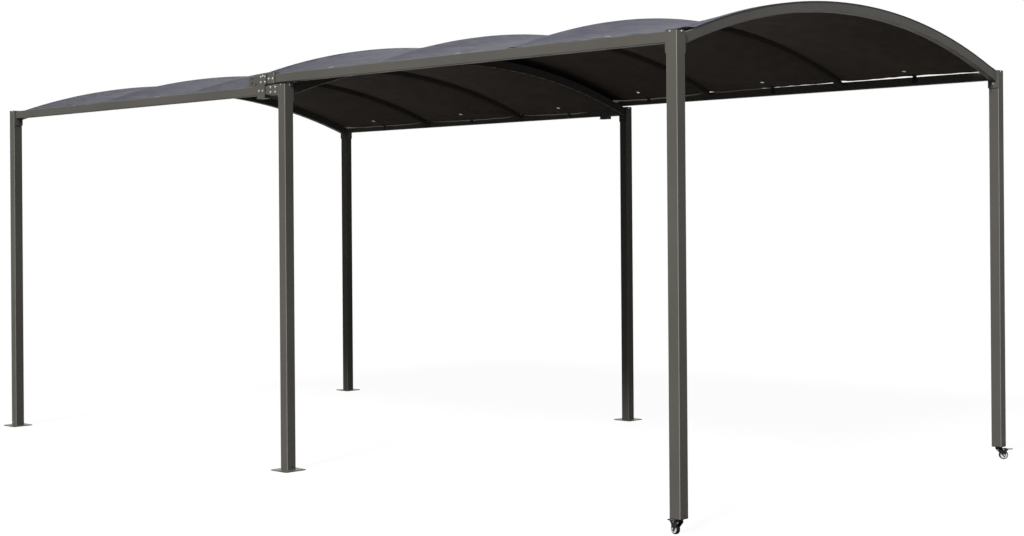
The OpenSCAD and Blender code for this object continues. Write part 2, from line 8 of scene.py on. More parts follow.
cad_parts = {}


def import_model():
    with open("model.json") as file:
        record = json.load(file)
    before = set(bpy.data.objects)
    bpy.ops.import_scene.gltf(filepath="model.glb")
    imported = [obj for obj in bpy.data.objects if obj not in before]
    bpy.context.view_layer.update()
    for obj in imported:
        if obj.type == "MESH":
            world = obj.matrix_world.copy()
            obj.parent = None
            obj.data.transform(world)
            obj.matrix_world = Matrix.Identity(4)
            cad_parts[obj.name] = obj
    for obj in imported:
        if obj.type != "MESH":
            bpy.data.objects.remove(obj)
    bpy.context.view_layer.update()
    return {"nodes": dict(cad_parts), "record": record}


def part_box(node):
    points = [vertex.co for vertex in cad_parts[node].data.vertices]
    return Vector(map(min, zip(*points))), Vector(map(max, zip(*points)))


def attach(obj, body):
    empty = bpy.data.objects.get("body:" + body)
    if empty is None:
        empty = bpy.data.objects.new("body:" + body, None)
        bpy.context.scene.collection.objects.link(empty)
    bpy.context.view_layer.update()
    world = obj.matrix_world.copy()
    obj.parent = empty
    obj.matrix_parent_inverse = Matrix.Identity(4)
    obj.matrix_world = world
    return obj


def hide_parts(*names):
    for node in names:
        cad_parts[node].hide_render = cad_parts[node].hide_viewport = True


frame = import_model()
nodes = frame["nodes"]

# Sizes of the solids that the fabric and the bolts sit on, in metres
ARCH_R = 4.256
ARCH_W = 0.040
RIB_W = 0.025
RAIL_W = 0.040
RAIL_H = 0.050
POST_W = 0.060
PLATE_T = 0.005
CARRIAGE_T = 0.004
FOOT_T = 0.003
SIDES = (-1, 1)


def middle(node):
    low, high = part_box(node)
    return (low + high) / 2


post_x = middle("middle_right_post").x
rear_y = middle("rear_left_post").y
mid_y = middle("middle_left_post").y
front_y = middle("front_left_post").y
fixed_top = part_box("fixed_post_caps")[1].z
sliding_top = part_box("sliding_post_caps")[1].z
fixed_rail_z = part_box("fixed_left_rail")[1].z - RAIL_H / 2
sliding_rail_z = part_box("sliding_left_rail")[1].z - RAIL_H / 2
rail_in = post_x - RAIL_W / 2
rib_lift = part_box("fixed_rear_rib")[1].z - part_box("rear_arch")[1].z


# Materials

class Look:
    """A material with a principled shader and the textures that drive it."""

    def __init__(self, name, **sockets):
        self.material = bpy.data.materials.new(name)
        self.material.use_nodes = True
        self.tree = self.material.node_tree
        self.tree.nodes.clear()
        self.shader = self.tree.nodes.new("ShaderNodeBsdfPrincipled")
        out = self.tree.nodes.new("ShaderNodeOutputMaterial")
        self.link(self.shader.outputs[0], out.inputs[0])
        self.place = self.tree.nodes.new("ShaderNodeTexCoord").outputs["Object"]
        for key, value in sockets.items():
            self.shader.inputs[key.replace("_", " ")].default_value = value

    def link(self, a, b):
        self.tree.links.new(a, b)

    def feed(self, socket, value):
        if isinstance(value, bpy.types.NodeSocket):
            self.link(value, socket)
        else:
            socket.default_value = value

    def stretched(self, x, y, z):
        n = self.tree.nodes.new("ShaderNodeMapping")
        self.link(self.place, n.inputs["Vector"])
        n.inputs["Scale"].default_value = (x, y, z)
        return n.outputs[0]

    def noise(self, scale, detail=3.0, roughness=0.55, place=None):
        n = self.tree.nodes.new("ShaderNodeTexNoise")
        self.link(place or self.place, n.inputs["Vector"])
        n.inputs["Scale"].default_value = scale
        n.inputs["Detail"].default_value = detail
        n.inputs["Roughness"].default_value = roughness
        return n.outputs["Fac"]

    def wave(self, scale, direction):
        n = self.tree.nodes.new("ShaderNodeTexWave")
        n.bands_direction = direction
        self.link(self.place, n.inputs["Vector"])
        n.inputs["Scale"].default_value = scale
        return n.outputs["Fac"]

    def math(self, operation, a, b=0.5):
        n = self.tree.nodes.new("ShaderNodeMath")
        n.operation = operation
        self.feed(n.inputs[0], a)
        self.feed(n.inputs[1], b)
        return n.outputs[0]

    def span(self, value, low, high, start=0.3, end=0.7):
        n = self.tree.nodes.new("ShaderNodeMapRange")
        self.link(value, n.inputs["Value"])
        n.inputs["From Min"].default_value = start
        n.inputs["From Max"].default_value = end
        n.inputs["To Min"].default_value = low
        n.inputs["To Max"].default_value = high
        return n.outputs[0]

    def ramp(self, value, dark, light, start=0.3, end=0.7):
        n = self.tree.nodes.new("ShaderNodeValToRGB")
        self.link(value, n.inputs["Fac"])
        n.color_ramp.elements[0].position = start
        n.color_ramp.elements[0].color = (*dark, 1)
        n.color_ramp.elements[1].position = end
        n.color_ramp.elements[1].color = (*light, 1)
        return n.outputs["Color"]

    def mix(self, fac, a, b, blend="MIX"):
        n = self.tree.nodes.new("ShaderNodeMix")
        n.data_type = "RGBA"
        n.blend_type = blend
        self.feed(n.inputs[0], fac)
        self.feed(n.inputs[6], a if isinstance(a, bpy.types.NodeSocket) else (*a, 1))
        self.feed(n.inputs[7], b if isinstance(b, bpy.types.NodeSocket) else (*b, 1))
        return n.outputs[2]

    def edges(self, radius):
        """How far a place is turned towards an edge, from 0 to about 0.3."""
        bevel = self.tree.nodes.new("ShaderNodeBevel")
        bevel.samples = 4
        bevel.inputs["Radius"].default_value = radius
        normal = self.tree.nodes.new("ShaderNodeNewGeometry").outputs["Normal"]
        dot = self.tree.nodes.new("ShaderNodeVectorMath")
        dot.operation = "DOT_PRODUCT"
        self.link(bevel.outputs[0], dot.inputs[0])
        self.link(normal, dot.inputs[1])
        return self.math("SUBTRACT", 1.0, dot.outputs["Value"]), bevel.outputs[0]

    def turned(self):
        """The parts of a face's normal along X, Y and Z."""
        normal = self.tree.nodes.new("ShaderNodeNewGeometry").outputs["Normal"]
        split = self.tree.nodes.new("ShaderNodeSeparateXYZ")
        self.link(normal, split.inputs[0])
        return split.outputs[0], split.outputs[1], split.outputs[2]

    def corners(self, bent):
        """1 on the rounded corners of straight or bent tubes, 0 on their flat faces."""
        x, y, z = self.turned()
        both = self.math("ABSOLUTE", self.math("MULTIPLY", y, z if bent else x))
        return self.span(both, 0, 1, 0.25, 0.48)

    def bump(self, height, strength, distance, normal=None):
        n = self.tree.nodes.new("ShaderNodeBump")
        n.inputs["Strength"].default_value = strength
        n.inputs["Distance"].default_value = distance
        self.link(height, n.inputs["Height"])
        if normal:
            self.link(normal, n.inputs["Normal"])
        self.link(n.outputs[0], self.shader.inputs["Normal"])

    def colour(self, socket):
        self.link(socket, self.shader.inputs["Base Color"])

    def roughness(self, socket):
        self.link(socket, self.shader.inputs["Roughness"])


def powder_coat(name, bent=False, gloss=0.05, lightening=1.0, highlight_colour=(0.330, 0.318, 0.285)):
    """Fine-grained paint, worn at the sharp edges, with a painted highlight on the rounded corners of the tubes,
    and dust on the faces that look up."""
    look = Look(name, Specular_IOR_Level=gloss)
    tone = look.ramp(look.noise(2.4, 4), (0.106, 0.100, 0.087), (0.124, 0.117, 0.102))
    speckle = look.ramp(look.noise(900, 2), (0.86, 0.86, 0.86), (1.1, 1.1, 1.1))
    paint = look.mix(0.6, tone, speckle, "MULTIPLY")
    edge, rounded = look.edges(0.0012)
    patches = look.span(look.noise(38, 5), 0, 0.5)
    worn = look.math("MULTIPLY", look.span(edge, 0, 1, 0.02, 0.25), patches)
    paint = look.mix(worn, paint, (0.24, 0.235, 0.22))
    # Painted highlight: the tubes' rounded corners are lightened in streaks towards a pale colour, in place of the
    # light they catch.
    streaks = look.span(look.noise(21, 5), 0.7 * lightening, lightening)
    corner_highlight = look.math("MULTIPLY", look.corners(bent), streaks)
    paint = look.mix(corner_highlight, paint, highlight_colour)
    upward = look.span(look.turned()[2], 0, 0.22, 0.55, 1.0)
    dust = look.math("MULTIPLY", upward, look.noise(14, 5))
    look.colour(look.mix(dust, paint, (0.30, 0.29, 0.27)))
    look.roughness(look.span(look.noise(7, 5), 0.40, 0.54))
    look.bump(look.noise(520, 2), 0.16, 0.0004, rounded)
    return look.material


def weave(look):
    """Height of a plain weave of 1.2 mm."""
    warp = look.wave(262, "X")
    weft = look.wave(262, "Y")
    return look.math("MULTIPLY", warp, weft)


def fabric_top():
    look = Look("coated_fabric", Specular_IOR_Level=0.06)
    clouds = look.noise(1.1, 5, 0.6)
    tone = look.ramp(clouds, (0.072, 0.072, 0.096), (0.087, 0.087, 0.114))
    streaks = look.noise(9, 4, 0.6, look.stretched(0.16, 1.0, 0.3))
    tone = look.mix(look.span(streaks, 0, 0.30, 0.50, 0.78), tone, (0.082, 0.082, 0.100))
    dust = look.span(look.noise(46, 6, 0.65), 0, 0.20, 0.52, 0.80)
    tone = look.mix(dust, tone, (0.140, 0.140, 0.166))
    thread = look.span(weave(look), 0.82, 1.06, 0.0, 0.8)
    look.colour(look.mix(1.0, tone, thread, "MULTIPLY"))
    look.roughness(look.span(look.noise(12, 4), 0.66, 0.84))
    look.bump(weave(look), 0.35, 0.0003)
    return look.material


def fabric_under():
    look = Look("fabric_backing", Specular_IOR_Level=0.03)
    tone = look.ramp(look.noise(1.6, 5, 0.6), (0.080, 0.065, 0.053), (0.098, 0.082, 0.068))
    thread = look.span(weave(look), 0.80, 1.08, 0.0, 0.8)
    look.colour(look.mix(1.0, tone, thread, "MULTIPLY"))
    look.roughness(look.span(look.noise(12, 4), 0.78, 0.92))
    look.bump(weave(look), 0.35, 0.0003)
    return look.material


def moulded(name, dark, light, rough, grain, worn=None, gloss=0.15):
    look = Look(name, Specular_IOR_Level=gloss)
    tone = look.ramp(look.noise(18, 5), dark, light)
    edge, rounded = look.edges(0.0007)
    if worn:
        patches = look.span(look.noise(90, 4), 0, 0.7)
        lightening = look.math("MULTIPLY", look.span(edge, 0, 1, 0.02, 0.25), patches)
        tone = look.mix(lightening, tone, worn)
    look.colour(tone)
    look.roughness(look.span(look.noise(30, 4), rough - 0.08, rough + 0.08))
    look.bump(look.noise(grain, 3), 0.2, 0.0003, rounded)
    return look.material


def metal(name, dark, light, rough, metallic=1.0):
    look = Look(name, Metallic=metallic)
    look.colour(look.ramp(look.noise(160, 5), dark, light))
    look.roughness(look.span(look.noise(300, 4), rough - 0.1, rough + 0.12))
    _, rounded = look.edges(0.0004)
    look.bump(look.noise(1400, 3), 0.15, 0.0002, rounded)
    return look.material


# Every coat paints a highlight on the tubes' rounded corners: near white on the middle arch, faint on the ribs.
coat = powder_coat("powder_coat")
arch_coat = powder_coat("powder_coat_on_arches", bent=True)
inner_coat = powder_coat("powder_coat_on_middle_arch", bent=True, gloss=0.0, highlight_colour=(0.80, 0.77, 0.70))
rib_coat = powder_coat("powder_coat_on_ribs", bent=True, gloss=0.0, lightening=0.2)
cloth = fabric_top()
backing = fabric_under()
plastic = moulded(
    "black_plastic", (0.024, 0.024, 0.024), (0.038, 0.038, 0.038), 0.6, 700, (0.09, 0.09, 0.09), gloss=0.06
)
nylon = moulded("slide_nylon", (0.040, 0.040, 0.043), (0.060, 0.060, 0.064), 0.45, 500, (0.13, 0.13, 0.13))
pale = moulded("pale_hub", (0.74, 0.74, 0.72), (0.84, 0.84, 0.82), 0.42, 600, gloss=0.4)
rubber = moulded(
    "tyre_rubber", (0.016, 0.016, 0.016), (0.026, 0.025, 0.024), 0.85, 380, (0.05, 0.048, 0.046), gloss=0.04
)
black_steel = moulded(
    "black_steel", (0.020, 0.020, 0.022), (0.034, 0.034, 0.036), 0.55, 800, (0.12, 0.12, 0.12), gloss=0.04
)
zinc = metal("zinc", (0.33, 0.33, 0.32), (0.45, 0.45, 0.435), 0.42)
dark_bolt = metal("dark_bolt", (0.03, 0.03, 0.03), (0.06, 0.06, 0.06), 0.45, 0.6)
eyelet_metal = metal("eyelet_metal", (0.16, 0.16, 0.16), (0.26, 0.26, 0.25), 0.36)
thread = moulded("thread", (0.060, 0.060, 0.072), (0.090, 0.090, 0.108), 0.8, 1500)
webbing = moulded("webbing", (0.014, 0.014, 0.015), (0.024, 0.024, 0.026), 0.85, 1800)

by_slot = {
    "powder_coated_frame": coat, "roof_fabric": cloth, "black_plastic": plastic, "slide_nylon": nylon,
    "wheel_hub": pale, "rubber": rubber, "dark_metal": black_steel,
}
by_node = {"front_arch": arch_coat, "middle_arch": inner_coat, "rear_arch": arch_coat}
for part in frame["record"]["subparts"]:
    node = part["node"]
    usual = rib_coat if node.endswith("_rib") else by_slot[part["material_slot"]]
    mesh = nodes[node].data
    for i in range(len(mesh.materials)):
        mesh.materials[i] = by_node.get(node, usual)


# Mesh tools

def piece(name, bm, materials, body, sharp):
    """Makes an object of a bmesh, smooth but for its sharp edges, that rides on a body."""
    bmesh.ops.recalc_face_normals(bm, faces=bm.faces)
    for face in bm.faces:
        face.smooth = True
    for edge in bm.edges:
        edge.smooth = len(edge.link_faces) == 2 and edge.calc_face_angle(0) < math.radians(sharp)
    mesh = bpy.data.meshes.new(name)
    bm.to_mesh(mesh)
    bm.free()
    for m in materials:
        mesh.materials.append(m)
    obj = bpy.data.objects.new(name, mesh)
    bpy.context.scene.collection.objects.link(obj)
    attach(obj, body)
    return obj


def facing(point, out):
    """A place at a point whose Z looks out of the surface."""
    return Matrix.Translation(Vector(point)) @ Vector(out).to_track_quat("Z", "Y").to_matrix().to_4x4()


def lathe(bm, profile, at, steps=20, closed=False):
    """Turns a profile of (radius, height) about Z."""
    rings = []
    for r, h in profile:
        count = 1 if r < 1e-7 else steps
        ring = []
        for k in range(count):
            a = math.tau * k / steps
            ring.append(bm.verts.new(at @ Vector((r * math.cos(a), r * math.sin(a), h))))
        rings.append(ring)
    pairs = list(zip(rings, rings[1:]))
    if closed:
        pairs.append((rings[-1], rings[0]))
    for a, b in pairs:
        for k in range(steps):
            n = (k + 1) % steps
            corners = [a[k % len(a)], a[n % len(a)], b[n % len(b)], b[k % len(b)]]
            corners = [v for i, v in enumerate(corners) if v not in corners[:i]]
            bm.faces.new(corners)


def washer(bm, at, r, bore, t):
    c = t * 0.3
    profile = [(bore, 0), (r, 0), (r, t - c), (r - c, t), (bore, t)]
    lathe(bm, profile, at, 24, closed=True)


def hex_head(bm, at, r, h):
    lathe(bm, [(0, 0), (r, 0), (r, h * 0.8), (r * 0.84, h), (0, h)], at, 6)


def hex_bolt(bm, point, out, r=0.0062):
    """A hexagon head on its washer."""
    at = facing(point, out)
    washer(bm, at, r * 1.5, r * 0.55, r * 0.22)
    hex_head(bm, at @ Matrix.Translation((0, 0, r * 0.2)), r, r * 0.72)


def button_screw(bm, point, out, r=0.0046):
    """A round head with a hexagon socket."""
    at = facing(point, out)
    dome = [(0, 0), (r, 0), (r, r * 0.22), (r * 0.92, r * 0.44), (r * 0.74, r * 0.62), (r * 0.5, r * 0.7)]
    lathe(bm, dome + [(r * 0.45, r * 0.3), (0, r * 0.26)], at, 18)


# Bolts and screws

# Heights of the screws in the feet of the fixed and the front posts, and the rear ones' place and size
FOOT_SCREW_Z, SOCKET_SCREW_Z = 0.023, 0.092
REAR_SCREW_DY, REAR_SCREW_R = 0.013, 0.0060
# Depths of bolts under the rails and under the tops of the posts
RAIL_BOLT_DROP, ARCH_BOLT_DROP, TOP_BOLT_DROP = 0.023, 0.075, 0.007
ARCH_BOLT_R, TOP_BOLT_R = 0.0056, 0.0050
# Top bolts beside the middles of the posts' faces, along Y and X
TOP_BOLT_DY, TOP_BOLT_DX = 0.007, 0.005
# Screws in the feet of the ribs, on either side of the rib
RIB_SCREW_DY = 0.0255
# Bolts of the sleeves and brackets, along Y from the middle posts and on either side of the rails' middle
SLEEVE_FACE, SLEEVE_BOLT_R = 0.023, 0.0046
SLEEVE_BOLT_YS, SLEEVE_BOLT_DZ = (0.063, 0.105), 0.014
BRACKET_BOLT_YS = (0.087, 0.121)
# Bolts and dark screws of the carriages, along Y from their ends and down from their tops
CARRIAGE_FACE, CARRIAGE_BOLT_R, CARRIAGE_SCREW_R = 0.027, 0.0044, 0.0062
CARRIAGE_BOLTS = (
    (0.010, 0.012), (0.028, 0.008), (0.047, 0.012), (0.010, 0.042), (0.047, 0.042), (0.032, 0.091), (0.066, 0.091)
)
CARRIAGE_SCREW = (0.090, 0.051)
TAIL_SCREWS = ((0.190, 0.009), (0.190, 0.036))
# Screws of the fabric on the front arch
ARCH_SCREW_XS, ARCH_SCREW_DEPTH, ARCH_SCREW_R = (-0.95, -0.475, 0, 0.475, 0.95), 0.006, 0.0034
# Rivets of the forks, along the trail from the post's middle, and the faces that carry rivets and axle nuts
RIVET_PLACES, RIVET_Z, RIVET_R = (-0.008, 0.024), 0.0555, 0.0032
FORK_FACE, AXLE_FACE = 0.0135, 0.0165
# Radius and height of an axle nut, and the profile of the axle's end in it
AXLE_NUT = 0.0058, 0.0034
AXLE_END = ((0, 0.003), (0.003, 0.003), (0.003, 0.0048), (0.0022, 0.0056), (0, 0.0056))


def fixings():
    fixed, sliding, dark, dark_fixed_and_painted_shade = (bmesh.new() for _ in range(4))
    for side in SIDES:
        x = side * post_x
        out = (side, 0, 0)
        inward = (-side, 0, 0)
        # screws through the posts' feet
        button_screw(fixed, (side * (post_x + POST_W / 2), rear_y + REAR_SCREW_DY, FOOT_SCREW_Z), out, REAR_SCREW_R)
        for way in SIDES:
            button_screw(dark_fixed_and_painted_shade, (x, mid_y + way * POST_W / 2, FOOT_SCREW_Z), (0, way, 0))
        for way in SIDES:
            button_screw(dark, (x, front_y + way * POST_W / 2, SOCKET_SCREW_Z), (0, way, 0))
        # rail plates, under the rails
        # Painted shade: the rear plate's bolts, under the roof, are dark copies of the zinc front ones.
        for bm, y, way, rail_z in ((dark_fixed_and_painted_shade, rear_y, -1, fixed_rail_z), (sliding, front_y, 1, sliding_rail_z)):
            z = rail_z - RAIL_H / 2 - RAIL_BOLT_DROP
            hex_bolt(bm, (x, y + way * (POST_W / 2 + PLATE_T), z), (0, way, 0))
        # arch plates, under the arches
        # Painted shade: the bolts of the rear and middle plates, under the roof, are dark copies of the zinc front
        # ones.
        for bm, y, top in (
            (dark_fixed_and_painted_shade, rear_y, fixed_top), (dark_fixed_and_painted_shade, mid_y, fixed_top), (sliding, front_y, sliding_top)
        ):
            face = side * (post_x - POST_W / 2 - PLATE_T)
            hex_bolt(bm, (face, y, top - ARCH_BOLT_DROP), inward, ARCH_BOLT_R)
        # bolts at the tops of the posts
        for bm, y, top, way in (
            (fixed, rear_y, fixed_top, 1), (fixed, mid_y, fixed_top, -1), (sliding, front_y, sliding_top, -1)
        ):
            z = top - TOP_BOLT_DROP
            button_screw(bm, (side * (post_x + POST_W / 2), y - way * TOP_BOLT_DY, z), out, TOP_BOLT_R)
            button_screw(bm, (x - side * TOP_BOLT_DX, y + way * POST_W / 2, z), (0, way, 0), TOP_BOLT_R)
        # feet of the ribs
        for bm, rib, half, rail_z in (
            (dark_fixed_and_painted_shade, "fixed_rear_rib", rail_in, fixed_rail_z),
            (dark_fixed_and_painted_shade, "fixed_front_rib", rail_in, fixed_rail_z),
            (dark, "sliding_rear_rib", rail_in, sliding_rail_z),
            (dark, "sliding_front_rib", rail_in, sliding_rail_z),
            (dark, "tail_rib", rail_in - CARRIAGE_T, sliding_rail_z),
        ):
            for dy in SIDES:
                y = middle(rib).y + dy * RIB_SCREW_DY
                button_screw(bm, (side * (half - FOOT_T), y, rail_z), inward)
        # sleeves of the fixed rails
        outer, inner = x + side * SLEEVE_FACE, x - side * SLEEVE_FACE
        # Painted shade: the heads on the inner faces, under the roof, are dark copies of the zinc outer ones.
        for dy in SLEEVE_BOLT_YS:
            for way in SIDES:
                z = fixed_rail_z + way * SLEEVE_BOLT_DZ
                hex_bolt(fixed, (outer, mid_y + dy, z), out, SLEEVE_BOLT_R)
                hex_bolt(dark_fixed_and_painted_shade, (inner, mid_y + dy, z), inward, SLEEVE_BOLT_R)
        # brackets of the sliding rails
        for dy in BRACKET_BOLT_YS:
            hex_bolt(sliding, (outer, mid_y + dy, sliding_rail_z), out, SLEEVE_BOLT_R)
        # carriages
        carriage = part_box("left_carriage")
        y0, top = carriage[0].y, carriage[1].z
        face = x + side * CARRIAGE_FACE
        for dy, dz in CARRIAGE_BOLTS:
            hex_bolt(sliding, (face, y0 + dy, top - dz), out, CARRIAGE_BOLT_R)
        dy, dz = CARRIAGE_SCREW
        button_screw(dark, (face, y0 + dy, top - dz), out, CARRIAGE_SCREW_R)
        for dy, dz in TAIL_SCREWS:
            button_screw(dark, (x - side * RAIL_W / 2, y0 + dy, top - dz), out, CARRIAGE_SCREW_R)
    # screws that hold the fabric to the front arch
    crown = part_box("front_arch")[1].z
    r = ARCH_R - ARCH_SCREW_DEPTH
    for x in ARCH_SCREW_XS:
        z = crown - ARCH_R + math.sqrt(r * r - x * x)
        button_screw(dark, (x, front_y - ARCH_W / 2, z), (0, -1, 0), ARCH_SCREW_R)
    piece("fixed_bolts", fixed, [zinc], "fixed_frame", 30)
    piece("sliding_bolts", sliding, [zinc], "sliding_section", 30)
    piece("sliding_screws", dark, [dark_bolt], "sliding_section", 30)
    # The fixed frame's dark screws, and its bolts painted dark as shade.
    piece("fixed_screws", dark_fixed_and_painted_shade, [dark_bolt], "fixed_frame", 30)


def caster_metal():
    """The nuts on the wheels' axles and the rivets in the forks."""
    for name, side in (("left", -1), ("right", 1)):
        bm = bmesh.new()
        hub = middle(name + "_wheel_hub")
        post = Vector((side * post_x, front_y, hub.z))
        trail = (hub - post).normalized()
        across = Vector((-trail.y, trail.x, 0))
        for way in SIDES:
            at = facing(hub + across * way * AXLE_FACE, across * way)
            hex_head(bm, at, *AXLE_NUT)
            lathe(bm, AXLE_END, at, 14)
            for along in RIVET_PLACES:
                rivet = post + trail * along + across * way * FORK_FACE
                button_screw(bm, (rivet.x, rivet.y, RIVET_Z), across * way, RIVET_R)
        piece(name + "_caster_metal", bm, [zinc], name + "_caster", 30)


fixings()
caster_metal()


# Roof fabric

# Clearance over the arches, thickness, width and thickness of the hems, and half of a hem's step
SEAT, CLOTH_T, HEM, HEM_T, HEM_STEP = 0.0003, 0.001, 0.0345, 0.0009, 0.0006
# Strip that rounds the edges
RIM = 0.001
# The rolled welt of the front edge, with its stations in degrees
WELT_R, WELT_TURNS = 0.0026, (60, 30, 0, -30, -60, -80)
# How soon the lift over a rib fades beside it
LIFT_FADE = 0.045
# Reach of a corner that stands off, across and along, and the right corner's share
CORNER_ACROSS, CORNER_ALONG, RIGHT_SHARE = 0.085, 0.14, 0.2
# Ripples along the edges: height, pitch, length over which the pitch drifts, reach
RIPPLE_H, RIPPLE_PITCH, RIPPLE_DRIFT, RIPPLE_REACH = 0.0016, 0.137, 0.71, 0.11
# Faint waves inside a bay
WAVE_H = 0.0012
# Place of the eyelets along the curve, their column from the edge, half of the patch around each, and the radius
# of the hole in the cloth
EYELET_D, EYELET_COLUMN = ARCH_R * math.asin(1.333 / ARCH_R), 5
EYELET_PATCH, HOLE_R = 0.026, 0.0104
# Faces along a bay and across each half
BAY_STEPS, HALF_STEPS = 28, 38
# Pitch, length and half thickness of a stitch, and the insets of the rows
STITCH_STEP, STITCH_L, STITCH_R, STITCH_INSETS = 0.010, 0.0066, 0.0006, (0.006, 0.028)
# Thickness and half width of a tie, its gap to the rail, and its reach under the cloth
TIE_T, TIE_HALF, TIE_GAP, TIE_REACH = 0.0014, 0.013, 0.0008, 0.040


class Canopy:
    """A cloth over arches and ribs, hanging a little in each bay.

    A carrier is its place along Y, half its width and its lift over the arches' curve, from back to front. Each
    bay has the sag of its middle and the dip of its edges. half gives half the width at a place along Y, rise how
    far the edges rise for what they gain in width, and stand_off lifts the left front corner."""

    def __init__(self, name, body, carriers, sags, dips, crown, half, rise, stand_off):
        self.name, self.body, self.carriers = name, body, carriers
        self.sags, self.dips, self.half, self.rise, self.stand_off = sags, dips, half, rise, stand_off
        self.centre = crown - ARCH_R
        self.back = carriers[0][0] + carriers[0][1]
        self.front = carriers[-1][0] - carriers[-1][1]

    def bay(self, y):
        """The hang in its bay, from 0 to 1, the sag and the dip of the edge there, and the lift over
        the arches' curve, inside and at the edge."""
        for a, b, sag, dip in zip(self.carriers, self.carriers[1:], self.sags, self.dips):
            low, high = a[0] - a[1], b[0] + b[1]
            if y > low:
                return 0.0, sag, dip, a[2], a[2]
            if y > high:
                u = (low - y) / (low - high)
                edge = a[2] * math.exp((y - low) / LIFT_FADE) + b[2] * math.exp((high - y) / LIFT_FADE)
                return 4 * u * (1 - u), sag, dip, a[2] + (b[2] - a[2]) * u, edge
        return 0.0, 0.0, 0.0, self.carriers[-1][2], self.carriers[-1][2]

    def edge(self, y):
        """Half of the cloth's width, along its curve."""
        return ARCH_R * math.asin(self.half(y) / ARCH_R)

    def radius(self, d, y):
        """Distance of the cloth's upper face from the axis of the arches."""
        hang, sag, dip, lift, edge_lift = self.bay(y)
        edge = self.edge(y)
        s = min(1.0, abs(d) / edge)
        sag = hang * (sag + (dip - sag) * s ** 4)
        lift += (edge_lift - lift + self.rise(y) * (self.half(y) - self.half(self.front))) * s ** 10
        across = max(0.0, 1 - (edge - abs(d)) / CORNER_ACROSS)
        corner = across * max(0.0, 1 - (y - self.front) / CORNER_ALONG)
        stand_off = self.stand_off if d < 0 else RIGHT_SHARE * self.stand_off
        lift += stand_off * corner * corner * (3 - 2 * corner)
        drift = 2.6 * math.sin(math.tau * y / RIPPLE_DRIFT) + (1.3 if d > 0 else 0)
        ripple = math.sin(math.tau * y / RIPPLE_PITCH + drift)
        ripple *= RIPPLE_H * hang * math.exp((abs(d) - edge) / RIPPLE_REACH)
        cross = WAVE_H * math.sin(9 * d + 5 * math.sin(2.1 * y + d)) * hang
        hem = HEM_T if edge - abs(d) < HEM or self.back - y < HEM or y - self.front < HEM else 0.0
        return ARCH_R + SEAT + CLOTH_T + lift - sag + ripple + cross + hem

    def point(self, d, y, lower=0.0, turn=None):
        """A place on the cloth, d along its curve from the crown."""
        r = self.radius(d, y) - lower
        if turn is not None:
            # the welt, rolled around the front edge
            turn = math.radians(turn)
            y -= (WELT_R - lower) * math.cos(turn)
            r -= (WELT_R - lower) * (1 - math.sin(turn))
        a = d / ARCH_R
        return Vector((r * math.sin(a), y, self.centre + r * math.cos(a)))

    def normal(self, d, y):
        e = 0.004
        across = self.point(d + e, y) - self.point(d - e, y)
        along = self.point(d, y + e) - self.point(d, y - e)
        return across.cross(along).normalized()

    def rows(self):
        """Stations from back to front, and the index of each bay's middle."""
        hem = self.back - HEM
        ys = [self.back, self.back - RIM, hem + HEM_STEP, hem - HEM_STEP]
        middles = []
        for a, b in zip(self.carriers, self.carriers[1:]):
            low, high = a[0] - a[1], b[0] + b[1]
            ys += [low + (high - low) * k / BAY_STEPS for k in range(BAY_STEPS + 1)]
            middles.append(low + (high - low) / 2)
            if b is not self.carriers[-1]:
                ys.append(b[0])
        hem = self.front + HEM
        ys += [hem + HEM_STEP, hem - HEM_STEP, self.front + RIM, self.front]
        ys = sorted(set(round(y, 6) for y in ys), reverse=True)
        return ys, [min(range(len(ys)), key=lambda i: abs(ys[i] - m)) for m in middles]

    def columns(self, y):
        """Places across the cloth, from left to right."""
        edge = self.edge(y)
        hem = edge - HEM
        right = [edge, edge - RIM, hem + HEM_STEP, hem - HEM_STEP, EYELET_D + EYELET_PATCH, EYELET_D]
        inner = EYELET_D - EYELET_PATCH
        right += [inner * (1 - k / HALF_STEPS) for k in range(HALF_STEPS)]
        return [-d for d in right] + [0.0] + right[::-1]

    def build(self):
        """The cloth with its holes, then its eyelets, stitches and ties."""
        ys, middles = self.rows()
        count = len(self.columns(ys[0]))
        holes = {(j, i) for j in middles for i in (EYELET_COLUMN, count - 1 - EYELET_COLUMN)}
        bm = bmesh.new()
        flat = []
        for j, y in enumerate(ys):
            places = enumerate(self.columns(y))
            flat.append([None if (j, i) in holes else (d, y, None) for i, d in places])
        for turn in WELT_TURNS:
            flat.append([(d, self.front, turn) for d in self.columns(self.front)])

        def vertex(p, lower):
            return p and bm.verts.new(self.point(p[0], p[1], lower, p[2]))

        def layer(lower):
            return [[vertex(p, lower) for p in row] for row in flat]

        top, under = layer(0), layer(CLOTH_T)
        rims = []

        def quad(a, b, c, d, material):
            face = bm.faces.new((a, b, c, d))
            face.material_index = material

